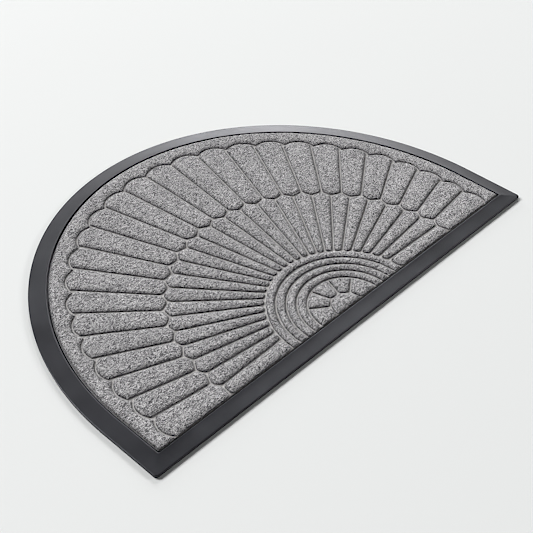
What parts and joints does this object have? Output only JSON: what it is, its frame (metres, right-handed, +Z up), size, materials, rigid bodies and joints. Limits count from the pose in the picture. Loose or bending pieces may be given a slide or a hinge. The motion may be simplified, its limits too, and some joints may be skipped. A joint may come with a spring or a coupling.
{
  "type": "half-round doormat",
  "caption": "Half-round doormat with a charcoal moulded rubber base and border, and a grey needled felt face pressed into a fan of scalloped petals, rays and half-round ribs.",
  "frame": {"origin": "on the floor, under the middle of the mat's bounding box", "axes": "+X along the straight front edge, +Y from the straight edge towards the arc, +Z up"},
  "size_m": [0.6, 0.4, 0.0068],
  "materials": {
    "rubber_base": "satin moulded rubber, charcoal",
    "carpet_face": "heathered grey needled felt with a short matt pile"
  },
  "bodies": {
    "root": {"rubber_base": "rubber_base", "carpet_face": "carpet_face"}
  },
  "joints": []
}
